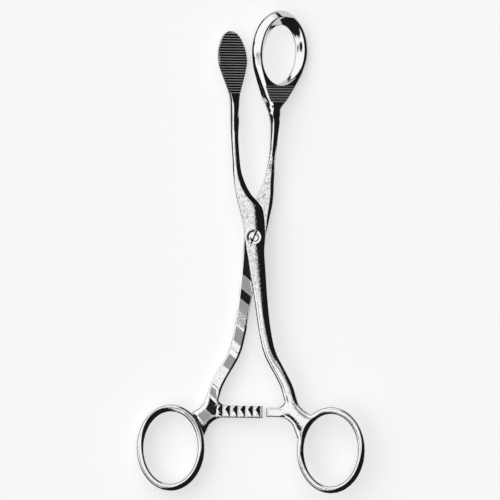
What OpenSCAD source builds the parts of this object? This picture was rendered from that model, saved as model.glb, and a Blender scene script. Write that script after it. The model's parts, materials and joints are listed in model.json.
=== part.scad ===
// Tongue forceps in forged steel, about 17 cm long, lying flat on its back.
// Two forged halves cross at a lap joint and turn on one slotted screw.
// One half ends in an oval plate with a serrated face, the other in an open ring.
// X is across, Y is along towards the jaws, Z is up and along the pivot.
// The origin is under the middle of the outline, on the surface the forceps lies on.

/* [Whole instrument] */
// Turn of the plate half from its closed place to the place shown
plate_open = 6.2; // [3:0.1:9]
// Turn of the ring half from its closed place to the place shown
ring_open = 8.0; // [4:0.1:10]
// Turn of both working faces about the length, away from facing up
jaw_turn = 30; // [24:1:36]
// Gap between the two working faces when the handles are fully closed
jaw_gap = 0.36; // [0.2:0.02:0.8]
// Distance across from the middle of the outline to the pivot
pivot_x = 1.06; // [0:0.01:2]
// Distance along from the middle of the outline to the pivot
pivot_y = 5.10; // [4:0.01:6]
// Height of the lap plane above the surface
pivot_z = 5.23; // [4:0.01:9]

/* [Plate jaw] */
// Distance from the pivot to the tip of the plate
plate_reach = 73.0; // [70:0.1:75]
// Greatest width of the plate
plate_w = 11.3; // [10:0.1:13]
// Thickness of the plate
plate_t = 1.8; // [1.5:0.1:2.4]
// Distance from the pivot to the widest place of the plate
plate_wide_at = 62.5; // [60:0.1:64]
// Distance from the pivot to the neck below the plate
plate_neck_at = 47.0; // [45:0.1:48]
// Width of the neck below the plate
plate_neck_w = 2.9; // [2.6:0.1:3.4]

/* [Ring jaw] */
// Distance from the pivot to the tip of the ring
ring_reach = 80.3; // [78:0.1:82]
// Greatest width of the ring
ring_w = 22.4; // [20:0.1:24]
// Distance from the pivot to the widest place of the ring
ring_wide_at = 66.0; // [64:0.1:68]
// Depth of the ring at its tip
ring_tip_d = 2.1; // [1.8:0.1:3]
// Depth of the ring at its root
ring_root_d = 3.0; // [2.6:0.1:3.4]
// Slope of the outer wall, from the outline in to the crest
ring_slope_w = 2.2; // [1.5:0.1:2.6]
// Width of the window at the working face
window_w = 13.2; // [11:0.1:15]
// Length of the window at the working face
window_l = 20.6; // [18:0.1:22]
// Distance from the pivot to the middle of the window
window_at = 64.8; // [64:0.1:66]
// Width of the window at the crest
crest_w = 17.6; // [16:0.1:18]
// Length of the window at the crest
crest_l = 24.4; // [23:0.1:25]

/* [Serrations] */
// Distance from one serration to the next
serration_pitch = 0.91; // [0.8:0.01:1.2]
// Depth of a serration
serration_depth = 0.28; // [0.15:0.01:0.4]

/* [Shanks] */
// Width of the upper shanks at their thinnest place
upper_w = 2.5; // [2.3:0.1:3]
// Thickness of the upper shanks
upper_t = 2.8; // [2.4:0.1:3]
// Width of the lower shanks below the lock
lower_w = 4.3; // [4:0.1:5]
// Softness of the shank corners, from square to oval
shank_soft = 0.86; // [0.6:0.01:0.9]

/* [Lock] */
// Width of each half across the lock
lock_w = 7.4; // [6.8:0.1:8]
// Thickness of each half at the lock
lock_t = 3.05; // [2.8:0.05:3.3]
// Gap between the two flat faces of the lap
lap_gap = 0.06; // [0.04:0.01:0.12]

/* [Screw] */
// Diameter of the screw head
head_d = 5.0; // [4.6:0.1:5.4]
// Height of the crown of the head above the front half
head_proud = 0.35; // [0.2:0.05:0.6]
// Depth of the seat for the head
seat_depth = 1.15; // [1:0.05:1.4]
// Diameter of the smooth shoulder in the front half
shoulder_d = 3.4; // [3:0.1:3.8]
// Diameter of the threaded end in the rear half
thread_d = 2.8; // [2.5:0.1:3]
// Width of the driver slot
slot_w = 0.8; // [0.6:0.05:1]
// Depth of the driver slot
slot_depth = 0.7; // [0.5:0.05:0.9]
// Direction of the driver slot, from across
slot_turn = 60; // [0:5:180]
// Radial clearance of the shoulder, the head and the thread in their holes
run_gap = 0.03; // [0.02:0.01:0.06]

/* [Ratchet] */
// Distance from the pivot down to the ratchet arms
ratchet_drop = 62.1; // [61:0.1:63]
// Reach of the long toothed arm past the middle, when closed
long_reach = 11.8; // [11:0.1:13]
// Reach of the short arm past the middle, when closed
short_reach = 2.4; // [1.5:0.1:3]
// Height of the long arm
long_h = 4.4; // [4:0.1:5]
// Height of the short arm
short_h = 3.4; // [3:0.1:4]
// Thickness of the ratchet arms
arm_t = 2.1; // [1.8:0.1:2.4]
// Distance from one ratchet tooth to the next
tooth_pitch = 2.67; // [2.4:0.01:2.8]
// Depth of a ratchet tooth
tooth_depth = 0.7; // [0.4:0.05:0.9]
// Number of teeth on the long arm
long_teeth = 6; // [4:1:6]
// Number of teeth on the short arm
short_teeth = 3; // [2:1:3]
// Gap from the lap plane to the crests of the teeth
tooth_gap = 0.06; // [0.04:0.01:0.12]

/* [Finger rings] */
// Distance across from the middle to the ring's middle, when closed
loop_across = 18.75; // [18:0.05:20]
// Distance down from the pivot to the ring's middle
loop_down = 77.5; // [76:0.1:78]
// Outer width of a finger ring
loop_w = 24.0; // [23:0.1:25]
// Outer length of a finger ring
loop_l = 30.4; // [29:0.1:31]
// Wall of a finger ring seen from above
loop_wall = 2.5; // [2:0.1:2.6]
// Depth of a finger ring
loop_t = 4.2; // [3.6:0.1:4.6]
// Lean of the finger rings when the handles are closed
loop_lean = 7; // [4:0.5:10]
// Thickness of the web between shank, ring and ratchet arm
web_t = 2.9; // [2.6:0.1:3]
// Radius of the fillet between shank and ratchet arm
web_fillet = 3.0; // [2:0.1:4]
// Radius of the fillet between ratchet arm and finger ring
heel_fillet = 6.0; // [4:0.1:7]
// Radius of the small outer fillet of the web
notch_fillet = 0.9; // [0.6:0.1:1.5]

/* [Hidden] */
$fn = 48;
corner_steps = 5;
steel = "gainsboro";
lock_z = lap_gap / 2 + lock_t / 2;
face_in = jaw_gap / 2;
head_z = lap_gap / 2 + lock_t - seat_depth;
// Height of the middle of a finger ring above the lap plane
loop_z = 1.0;
// How far the web and the ring wall run into each other
loop_bite = 0.35;
// Steps that stand for the rounded edges of the web: inset and depth, below and above
edge_low = [0.3, 0.4];
edge_high = [0.45, 0.6];
// Serrated stretch of the ring's root, and how deep its comb stands in the slope
root_low = 47.3;
root_high = 53.9;
root_bite = 0.16;
// Plain rim left at the tip of both jaws
tip_rim = 0.8;
// Wider than any jaw or arm, for cutters
clear = 26;

// A place in the turned jaw axes: u across the working face, n out of it
function seat(u, n, roll) = [u * cos(roll) + n * sin(roll), n * cos(roll) - u * sin(roll)];

// Slope for the smooth line through a column of rows, flat where it turns
function rise(r, i, k) = (r[i + 1][k] - r[i][k]) / (r[i + 1][0] - r[i][0]);
function lean2(a, b) = a * b <= 0 ? 0 : 2 * a * b / (a + b);
function lean(r, i, k) =
    i == 0 ? rise(r, 0, k) :
    i == len(r) - 1 ? rise(r, i - 1, k) :
    lean2(rise(r, i - 1, k), rise(r, i, k));
function span(r, y, i = 0) = (i >= len(r) - 2 || y < r[i + 1][0]) ? i : span(r, y, i + 1);
function blend(a, b, p, q, t) =
    a * (1 + 2 * t) * (1 - t) * (1 - t) + b * t * t * (3 - 2 * t)
    + p * t * (1 - t) * (1 - t) - q * t * t * (1 - t);
function at(r, y, k) =
    let (i = span(r, y), h = r[i + 1][0] - r[i][0], t = (y - r[i][0]) / h)
    blend(r[i][k], r[i + 1][k], lean(r, i, k) * h, lean(r, i + 1, k) * h, t);

// One quarter-round corner of a section
function corner(cx, cn, rx, rn, q) = [
    for (i = [0:corner_steps])
    let (a = 90 * q + 90 * i / corner_steps)
    [cx + rx * cos(a), cn + rn * sin(a)]];

// A section with its own front and back corners; a is half the width, b half the thickness
function section(a, b, fx, fn, bx, bn) = concat(
    corner(a - fx, b - fn, fx, fn, 0),
    corner(fx - a, b - fn, fx, fn, 1),
    corner(bx - a, bn - b, bx, bn, 2),
    corner(a - bx, bn - b, bx, bn, 3));

// Narrowing towards a rounded tip
function tip(y, wide, reach) = y <= wide ? 1 : sqrt(max(0, 1 - pow((y - wide) / (reach - wide), 2)));

// The section of a half at one height, rows are [y, x, z, width, thickness, roll, fx, fn, bx, bn]
function slice(r, y, wide, reach) =
    let (
        w = at(r, y, 3) * tip(y, wide, reach),
        t = at(r, y, 4),
        roll = at(r, y, 5),
        s = section(w / 2, t / 2, at(r, y, 6) * w / 2, at(r, y, 7) * t, at(r, y, 8) * w / 2, at(r, y, 9) * t))
    [for (p = s) let (q = seat(p[0], p[1], roll)) [at(r, y, 1) + q[0], y, at(r, y, 2) + q[1]]];

// A closed skin over a stack of equal loops of points
module skin(loops) {
    n = len(loops[0]);
    m = len(loops);
    low = [[for (i = [n - 1:-1:0]) i]];
    high = [[for (i = [0:n - 1]) (m - 1) * n + i]];
    sides = [
        for (j = [0:m - 2], i = [0:n - 1])
        let (a = j * n + i, b = j * n + (i + 1) % n)
        each [[a, b, b + n], [a, b + n, a + n]]];
    polyhedron([for (l = loops) each l], concat(low, sides, high), convexity = 8);
}

// A closed hoop over a path that returns to its start
module hoop(loops) {
    n = len(loops[0]);
    m = len(loops);
    sides = [
        for (j = [0:m - 1], i = [0:n - 1])
        let (k = (i + 1) % n, a = j * n + i, b = j * n + k, c = (j + 1) % m * n)
        each [[a, b, c + k], [a, c + k, c + i]]];
    polyhedron([for (l = loops) each l], sides, convexity = 8);
}

// Lower shank, as rows from the web up to the lock; side mirrors it for the rear half
soft = shank_soft;
function low_row(side, y, x, w, t, f, b) =
    let (z = lap_gap / 2 + t / 2)
    side > 0 ? [y, x, z, w, t, 0, f, f / 2, b, b / 2] : [y, -x, -z, w, t, 0, b, b / 2, f, f / 2];
function low_rows(side) = [
    low_row(side, -62, 7.4, 4.9, web_t, soft, 0.5),
    low_row(side, -58, 6.6, 4.6, web_t, soft, 0.5),
    low_row(side, -54, 5.85, lower_w + 0.1, web_t, soft, 0.5),
    low_row(side, -50, 4.5, lower_w + 0.1, web_t, soft, 0.5),
    low_row(side, -46, 2.85, lower_w + 0.2, web_t, soft, 0.5),
    low_row(side, -42, 1.35, lower_w, web_t, soft, 0.4),
    low_row(side, -38, 0.6, lower_w - 0.1, web_t, soft, 0.3),
    low_row(side, -30, 0.1, lower_w, web_t, soft, 0.2),
    low_row(side, -22, 0.03, lower_w + 0.3, lock_t, 0.7, 0.1),
    low_row(side, -14, 0, lower_w + 1.0, lock_t, 0.6, 0.06),
    low_row(side, -6, 0, lower_w + 1.7, lock_t, 0.45, 0.06)];

// A row where both halves lap, with a flat back
function lap_row(side, y, x, w) =
    side > 0 ? [y, x, lock_z, w, lock_t, 0, 0.36, 0.22, 0.06, 0.06]
    : [y, x, -lock_z, w, lock_t, 0, 0.06, 0.06, 0.36, 0.22];

// A row of an upper shank, centre and roll given
function up_row(y, x, z, w, t, roll) = [y, x, z, w, t, roll, soft, soft / 2, soft, soft / 2];

// A row of the plate, its face held at the working plane
function plate_row(y, u, w, t, f, b) =
    let (c = seat(u, -face_in - t / 2, jaw_turn))
    [y, c[0], c[1], w, t, jaw_turn, f, f, b, 0.8 * b];

plate_rows = concat(low_rows(1), [
    lap_row(1, 0, 0.35, lock_w - 0.2),
    lap_row(1, 5, 0.5, lock_w + 0.2),
    lap_row(1, 9.5, 0.1, lock_w + 0.5),
    lap_row(1, 12, -0.7, lock_w - 0.4),
    lap_row(1, 15, -2.0, lock_w - 2.1),
    lap_row(1, 19, -2.95, upper_w + 1.4),
    [24, -3.4, lock_z, upper_w + 0.3, upper_t, 0, 0.7, 0.4, 0.5, 0.3],
    up_row(29, -3.28, 1.3, upper_w, upper_t, 2),
    up_row(35, -3.1, 0.6, upper_w, upper_t, 10),
    up_row(41, -2.6, -0.1, plate_neck_w - 0.1, upper_t, 22),
    plate_row(plate_neck_at, -1.4, plate_neck_w, 2.5, 0.4, 0.6),
    plate_row(50, -1.15, 0.33 * plate_w, 2.1, 0.06, 0.6),
    plate_row(54, -0.85, 0.56 * plate_w, plate_t + 0.1, 0.04, 0.5),
    plate_row(58, -0.6, 0.815 * plate_w, plate_t, 0.04, 0.45),
    plate_row(plate_wide_at, -0.46, plate_w, plate_t, 0.04, 0.4),
    plate_row(plate_reach, -0.4, plate_w, plate_t, 0.04, 0.4)]);

ring_neck = seat(0.2, face_in + ring_root_d / 2, jaw_turn);
ring_heel = seat(0, face_in + ring_root_d / 2, jaw_turn);
ring_rows = concat(low_rows(-1), [
    lap_row(-1, 0, 0.3, lock_w - 0.2),
    lap_row(-1, 4, 0.72, lock_w - 0.4),
    lap_row(-1, 8, 1.2, lock_w - 0.8),
    lap_row(-1, 12, 1.74, lock_w - 1.3),
    lap_row(-1, 16, 2.12, lock_w - 2.3),
    lap_row(-1, 20, 2.5, upper_w + 1.0),
    [24, 2.5, -lock_z, upper_w + 0.5, lock_t, 0, 0.5, 0.3, 0.7, 0.4],
    up_row(29, 2.5, -0.75, upper_w, upper_t + 0.1, 3),
    up_row(34, 2.1, 0.25, upper_w, upper_t + 0.1, 12),
    up_row(40, 1.55, 1.1, upper_w + 0.4, upper_t + 0.1, 24),
    [44, ring_neck[0], ring_neck[1], 4.5, ring_root_d, jaw_turn, 0.7, 0.45, 0.4, 0.3],
    [46, ring_heel[0], ring_heel[1], 5.9, ring_root_d, jaw_turn, 0.66, 0.75, 0.1, 0.1],
    [50, ring_heel[0], ring_heel[1], 7.0, ring_root_d - 0.3, jaw_turn, 0.66, 0.8, 0.1, 0.1]]);

// Heights of the slices: close together where the outline bends most
plate_ys = concat(
    [-62, -58, -54, -50, -46, -42, -38, -34, -30, -26, -22, -18, -14, -10, -6, -3],
    [0, 2.5, 5, 7.5, 9.5, 11, 12.5, 14, 16, 18, 20, 22, 24, 26.5, 29, 32, 35, 38, 41, 44],
    [plate_neck_at, 48.5, 50, 51.5, 53, 54.5, 56, 57.5, 59, 60.5, plate_wide_at],
    [for (a = [12:11:78]) plate_wide_at + (plate_reach - plate_wide_at) * sin(a)],
    [plate_reach - 0.06]);
ring_ys = concat(
    [-62, -58, -54, -50, -46, -42, -38, -34, -30, -26, -22, -18, -14, -10, -6, -3],
    [0, 2, 4, 6, 8, 10, 12, 14, 16, 18, 20, 22, 24, 26.5, 29, 31.5, 34, 37, 40, 42, 43.8, 46.2, 48.2, 50]);

// Straight bar of ratchet teeth: triangles with one square side, on the low side of z
module tooth_cuts(first, count, height, z) {
    for (i = [0:count - 1])
    translate([first + i * tooth_pitch, height / 2 + 0.5, z])
    rotate([90, 0, 0])
    linear_extrude(height + 1)
    polygon([[0, -0.5], [tooth_pitch - 0.12, -0.5], [tooth_pitch - 0.12, 0], [0, tooth_depth]]);
}

// Plan of a ratchet arm, from its tip in to the shank
module arm_plan(reach, height) {
    translate([0, -ratchet_drop])
    rotate(-loop_lean)
    translate([-reach, -height / 2])
    square([reach + 6.5, height]);
}

// Plan of the tail of the shank where it runs out into the finger ring
module tail_plan() {
    r = ratchet_drop;
    d = loop_down;
    c = loop_across;
    polygon([
        [4.6, 6.6 - r], [7.2, 6.6 - r], [9.1, 2.1 - r], [10.7, -0.3 - r], [c - 5.55, 13.3 - d],
        [c - 7.25, 6.5 - d], [c - 10.75, 2.5 - d], [c - 11.55, 6.5 - d], [c - 12.35, 10 - d], [4.8, 0.1 - r]]);
}

// Oval of the finger ring, drawn in from the outline by a given amount
module loop_plan(inset) {
    translate([loop_across, -loop_down])
    rotate(-loop_lean)
    scale([loop_w / 2 - inset, loop_l / 2 - inset])
    circle(1, $fn = 72);
}

// Plan of the web: tail, arm and ring run together with fillets
module web_plan(reach, height, inset) {
    offset(delta = -inset)
    difference() {
        union() {
            offset(r = -notch_fillet)
            offset(delta = notch_fillet)
            web_parts(reach, height);
            web_side(reach, height, web_fillet, 12.1 - ratchet_drop, -ratchet_drop);
            web_side(reach, height, heel_fillet, -ratchet_drop, -6.5 - loop_down);
        }
        loop_plan(loop_wall - loop_bite);
        translate([loop_across - 3.75, -loop_down - 2.5]) square([clear, 60]);
        translate([-clear, 2.5 - loop_down - clear]) square([2 * clear, clear]);
    }
}

// The fillets of one radius on the inner side of the web, between two heights
module web_side(reach, height, fillet, top, bottom) {
    intersection() {
        offset(r = -fillet)
        offset(delta = fillet)
        web_parts(reach, height);
        polygon([
            [-clear, top], [6, top], [8, min(top, 2.1 - ratchet_drop)],
            [10, max(bottom, -3.9 - ratchet_drop)], [9, bottom], [-clear, bottom]]);
    }
}

// The three plain shapes the web joins
module web_parts(reach, height) {
    arm_plan(reach, height);
    tail_plan();
    loop_plan(loop_bite);
}

// Web and ratchet arm of the front half, its teeth on the back; a long arm is thinner than its web
module web(reach, height, teeth, thin) {
    difference() {
        union() {
            translate([0, 0, tooth_gap])
            linear_extrude(edge_low[1]) web_plan(reach, height, edge_low[0]);
            translate([0, 0, tooth_gap + edge_low[1]])
            linear_extrude(web_t - edge_low[1] - edge_high[1]) web_plan(reach, height, 0);
            translate([0, 0, tooth_gap + web_t - edge_high[1]])
            linear_extrude(edge_high[1]) web_plan(reach, height, edge_high[0]);
        }
        if (thin)
        translate([0, -ratchet_drop, tooth_gap + arm_t])
        rotate(-loop_lean)
        translate([1.6 - clear, -5, 0]) cube([clear, 8, 4]);
        translate([0, -ratchet_drop, 0])
        rotate(-loop_lean)
        tooth_cuts(-reach + 0.45, teeth, height, tooth_gap);
    }
}

// Finger ring: an oval section carried round an oval path
module finger_ring() {
    hoop([
        for (i = [0:55])
        let (a = 360 * i / 56, c = cos(a), s = sin(a))
        [for (j = [0:11])
            let (
                b = 30 * j,
                ra = loop_w / 2 - loop_wall / 2 + cos(b) * loop_wall / 2,
                rb = loop_l / 2 - loop_wall / 2 + cos(b) * loop_wall / 2,
                p = [ra * c, rb * s])
            [loop_across + p[0] * cos(loop_lean) + p[1] * sin(loop_lean),
            -loop_down - p[0] * sin(loop_lean) + p[1] * cos(loop_lean),
            loop_z + sin(b) * loop_t / 2]]]);
}

// Handle end of the front half; the rear half has the same, turned over
module handle_end(reach, height, teeth, thin) {
    web(reach, height, teeth, thin);
    finger_ring();
}

// Comb that cuts serrations into a face lying across n, from one height to another
// The half is turned by open in the place shown, and the serrations lie straight across there
module serrations(low, high, n, width, up, open) {
    count = floor((high - low) / serration_pitch);
    d = up ? serration_depth : -serration_depth;
    mid = (low + high) / 2;
    rotate([0, jaw_turn, 0])
    translate([0, mid, 0])
    rotate(-atan(tan(open) * cos(jaw_turn)))
    translate([-width / 2, -mid, n])
    rotate([90, 0, 90])
    linear_extrude(width)
    polygon(concat(
        [[low, -d * 3], [high, -d * 3]],
        [[low + count * serration_pitch, -d * 0.2]],
        [for (i = [count - 1:-1:0])
            each [
                [low + (i + 0.5) * serration_pitch, d],
                [low + i * serration_pitch, -d * 0.2]]]));
}

// Outline of the ring jaw at one level, drawn in by a given amount, left side first
ring_outline = [
    [44, 1.6], [46, 2.9], [48, 4.25], [52, 6.45], [56, 8.45], [60, 10.1], [ring_wide_at, ring_w / 2],
    [ring_reach, ring_w / 2]];
ring_drift = [[44, 0.3], [48, 0], [56, -0.2], [ring_wide_at, -0.4], [ring_reach, -1.2]];
function ring_half(y, i) =
    y < ring_wide_at ? max(0.3, at(ring_outline, y, 1) - i)
    : (ring_w / 2 - i) * tip(y, ring_wide_at, ring_reach - i);
function ring_side(i) = concat(
    [for (y = [45.5, 47, 49, 51, 53, 55, 57, 59, 61, 63.5]) y],
    [for (a = [0:9:81]) ring_wide_at + (ring_reach - i - ring_wide_at) * sin(a)],
    [ring_wide_at + (ring_reach - i - ring_wide_at) * sin(86)]);
function ring_place(u, y, f) =
    let (
        d = ring_tip_d + (ring_root_d - ring_tip_d) * (ring_reach - y) / (ring_reach - 44),
        q = seat(u + at(ring_drift, y, 1), face_in + d * f, jaw_turn))
    [q[0], y, q[1]];
function ring_level(i, f) =
    let (ys = ring_side(i), n = len(ys))
    concat(
        [for (k = [0:n - 1]) ring_place(-ring_half(ys[k], i), ys[k], f)],
        [for (k = [n - 1:-1:0]) ring_place(ring_half(ys[k], i), ys[k], f)]);

// Window of the ring: straight at the working face, flaring to the crest
function window_loop(w, l, shift, n) = [
    for (k = [0:47])
    let (
        a = -360 * k / 48,
        y = window_at + shift + l / 2 * sin(a),
        q = seat(w / 2 * cos(a) + at(ring_drift, y, 1), n, jaw_turn))
    [q[0], y, q[1]]];

module ring_jaw() {
    difference() {
        skin([
            ring_level(0, 0),
            ring_level(0, 0.2),
            ring_level(ring_slope_w * 0.4, 0.72),
            ring_level(ring_slope_w, 1)]);
        skin([
            window_loop(window_w, window_l, 0, -2),
            window_loop(window_w, window_l, 0, face_in + 0.3),
            window_loop((window_w + crest_w) / 2 - 0.7, (window_l + crest_l) / 2 - 0.6, 0.4, face_in + 1.1),
            window_loop(crest_w, crest_l, 0.8, face_in + ring_tip_d + 0.15),
            window_loop(crest_w + 1, crest_l + 1, 0.8, face_in + 5)]);
    }
}

// Front half: plate jaw, shank, lap, lower shank, web, short ratchet arm and finger ring
module plate_jaw_half() {
    color(steel)
    translate([pivot_x, pivot_y, pivot_z])
    rotate(plate_open)
    difference() {
        union() {
            skin([for (y = plate_ys) slice(plate_rows, y, plate_wide_at, plate_reach)]);
            handle_end(short_reach, short_h, short_teeth, false);
        }
        serrations(51, plate_reach - tip_rim, -face_in, clear, false, plate_open);
        translate([0, 0, -1]) cylinder(d = shoulder_d + 2 * run_gap, h = 6);
        translate([0, 0, head_z]) cylinder(d = head_d + 2 * run_gap, h = 4);
    }
}

// Rear half: ring jaw, shank, lap, lower shank, web, long ratchet arm and finger ring
module ring_jaw_half() {
    color(steel)
    translate([pivot_x, pivot_y, pivot_z])
    rotate(-ring_open)
    difference() {
        union() {
            skin([for (y = ring_ys) slice(ring_rows, y, 200, 201)]);
            ring_jaw();
            rotate([0, 180, 0]) handle_end(long_reach, long_h, long_teeth, true);
        }
        serrations(50, ring_reach - tip_rim, face_in, clear, true, -ring_open);
        serrations(root_low, root_high, face_in + ring_root_d - root_bite, 12, false, -ring_open);
        translate([0, 0, -6]) cylinder(d = thread_d + 2 * run_gap, h = 8);
    }
}

// Pivot screw: crowned slotted head, smooth shoulder and threaded end, peened flush behind
module pivot_screw() {
    color("silver")
    translate([pivot_x, pivot_y, pivot_z])
    difference() {
        union() {
            intersection() {
                translate([0, 0, head_z + run_gap]) cylinder(d = head_d, h = seat_depth + head_proud - run_gap);
                translate([0, 0, head_z + seat_depth + head_proud - 9]) sphere(9, $fn = 96);
            }
            translate([0, 0, lap_gap / 2]) cylinder(d = shoulder_d, h = head_z);
            translate([0, 0, -lap_gap / 2 - lock_t]) cylinder(d = thread_d, h = lock_t + lap_gap + 0.5);
        }
        rotate(slot_turn)
        translate([-head_d, -slot_w / 2, head_z + seat_depth + head_proud - slot_depth])
        cube([2 * head_d, slot_w, 3]);
    }
}

plate_jaw_half();
ring_jaw_half();
pivot_screw();
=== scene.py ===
# %% [markdown]
# # Tongue forceps in polished steel
# The forceps lies on its back on a pale table. It is three pieces of steel: two forged halves
# that cross at a lap, and the slotted screw that they turn on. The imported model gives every
# piece its place, and this script gives each one its real surface.

import json
import math

import bmesh
import bpy
import numpy as np
from mathutils import Matrix, Vector
from mathutils.bvhtree import BVHTree


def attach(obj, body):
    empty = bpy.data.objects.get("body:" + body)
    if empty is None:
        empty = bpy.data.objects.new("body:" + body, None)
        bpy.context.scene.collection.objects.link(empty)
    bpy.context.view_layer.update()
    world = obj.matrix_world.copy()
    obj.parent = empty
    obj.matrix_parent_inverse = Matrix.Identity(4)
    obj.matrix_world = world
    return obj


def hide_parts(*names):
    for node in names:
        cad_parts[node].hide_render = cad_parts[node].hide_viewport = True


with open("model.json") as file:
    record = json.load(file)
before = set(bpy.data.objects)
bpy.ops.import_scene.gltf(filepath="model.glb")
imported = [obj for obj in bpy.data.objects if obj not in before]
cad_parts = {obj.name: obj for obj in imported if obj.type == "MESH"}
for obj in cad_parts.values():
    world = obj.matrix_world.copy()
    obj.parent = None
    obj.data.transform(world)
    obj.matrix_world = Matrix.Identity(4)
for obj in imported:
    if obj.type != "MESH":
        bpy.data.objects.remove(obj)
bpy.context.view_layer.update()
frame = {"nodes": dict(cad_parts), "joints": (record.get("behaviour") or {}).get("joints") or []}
print("nodes:", sorted(frame["nodes"]))

# %% [markdown]
# ## Units and sizes
# All the shaping is done in millimetres, in the place of a closed forceps with the pivot at
# zero, because that is how a maker would draw it. X is across, Y along towards the jaws, Z
# towards the screw head. Each half is then turned to its drawn place and brought to metres.

# %% Sizes of the instrument
MM = 0.001
PIVOT = np.array(frame["joints"][0]["pos_m"]) / MM
PLATE_OPEN, RING_OPEN = 6.2, -8.0
JAW_TURN = 30.0
FACE_IN = 0.18
LAP = 0.03
LOCK_T = 3.05
LOCK_W = 7.4
LOCK_Z = LAP + LOCK_T / 2
WEB_T = 2.9
PLATE_REACH, PLATE_WIDE_AT = 73.0, 62.5
RING_REACH, RING_WIDE_AT = 80.3, 66.0
print("pivot at", PIVOT, "mm")

# %% [markdown]
# ## Smooth lines through a few measured places
# A shank is known at a dozen heights: where its middle is, how wide and thick it is, how its
# corners are rounded. A monotone cubic joins those places, so that nothing bulges in between.

# %% A smooth line through rows of numbers
def smooth_line(rows):
    rows = np.array(rows, float)
    y, v = rows[:, 0], rows[:, 1:]
    rise = np.diff(v, axis=0) / np.diff(y)[:, None]
    lean = np.vstack([rise[:1], np.zeros_like(rise[1:]), rise[-1:]])
    a, b = rise[:-1], rise[1:]
    turn = a * b > 0
    lean[1:-1][turn] = (2 * a * b)[turn] / (a + b)[turn]

    def at(q):
        q = np.atleast_1d(np.asarray(q, float))
        i = np.clip(np.searchsorted(y, q, side="right") - 1, 0, len(y) - 2)
        h = (y[i + 1] - y[i])[:, None]
        t = (q[:, None] - y[i][:, None]) / h
        s = 1 - t
        return (v[i] * (1 + 2 * t) * s * s + v[i + 1] * t * t * (3 - 2 * t)
                + lean[i] * h * t * s * s - lean[i + 1] * h * t * t * s)
    return at


def smooth_step(x, low, high):
    t = np.clip((np.asarray(x, float) - low) / (high - low), 0, 1)
    return t * t * (3 - 2 * t)

# %% [markdown]
# ## The section of a forged bar
# Each section is a bar with its own left, right and back corners. The two front corners fall
# away slowly from the front face and get steeper up to a crisp edge, as a hand-ground bevel
# does. The broad right bevel is what makes the dark band down each right side. The back corners
# are plain quarter ovals.

# %% Points round one section
CORNER = np.linspace(0, math.pi / 2, 11)
FACE_STEPS = 20


def between(p, q, n):
    s = np.linspace(0, 1, n + 2)[1:-1, None]
    return p + (q - p) * s


def bar_section(w, t, lx, ln, lp, rx, rn, rp, bx, bn):
    a, b = w / 2, t / 2
    c, s = np.cos(CORNER), np.sin(CORNER)
    fall = np.linspace(1, 0, len(CORNER))
    right = np.c_[a - rx * a * (1 - fall), b - rn * t * fall ** rp]
    left = np.c_[-a + lx * a * (1 - fall), b - ln * t * fall ** lp][::-1]
    back_left = np.c_[-a + bx * a * (1 - c), -b + bn * t * (1 - s)]
    back_right = np.c_[a - bx * a * (1 - c), -b + bn * t * (1 - s)][::-1]
    return np.vstack([right, between(right[-1], left[0], FACE_STEPS), left, between(left[-1], back_left[0], 2),
                      back_left, between(back_left[-1], back_right[0], 5), back_right,
                      between(back_right[-1], right[0], 2)])


def seat(points, roll):
    """Across and out of a turned face, to X and Z."""
    r = np.radians(roll)
    u, n = points[:, 0], points[:, 1]
    return np.c_[u * np.cos(r) + n * np.sin(r), n * np.cos(r) - u * np.sin(r)]

# %% [markdown]
# ## Rows of the two halves
# One row is: height, middle across, middle depth, width, thickness, roll, then for the left and
# the right corner its share of the half width, its share of the thickness and its form (1 is a
# flat facet, 2 and more start softly), and last the two shares of the back corners.

# %% Rows of the half with the plate jaw
SOFT = [0.5, 0.2, 2.0]
FACET = [1.3, 0.28, 2.3]
NARROW = [0.7, 0.22, 1.5]


def lower(y, x, w, t, left, right, back):
    return [y, x, LAP + t / 2, w, t, 0, *left, *right, *back]


def plate(y, u, w, t, left, right, b):
    c = seat(np.array([[u, -FACE_IN - t / 2]]), JAW_TURN)[0]
    return [y, c[0], c[1], w, t, JAW_TURN, *left, 1.5, right, right, 2, b, 0.8 * b]


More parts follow.
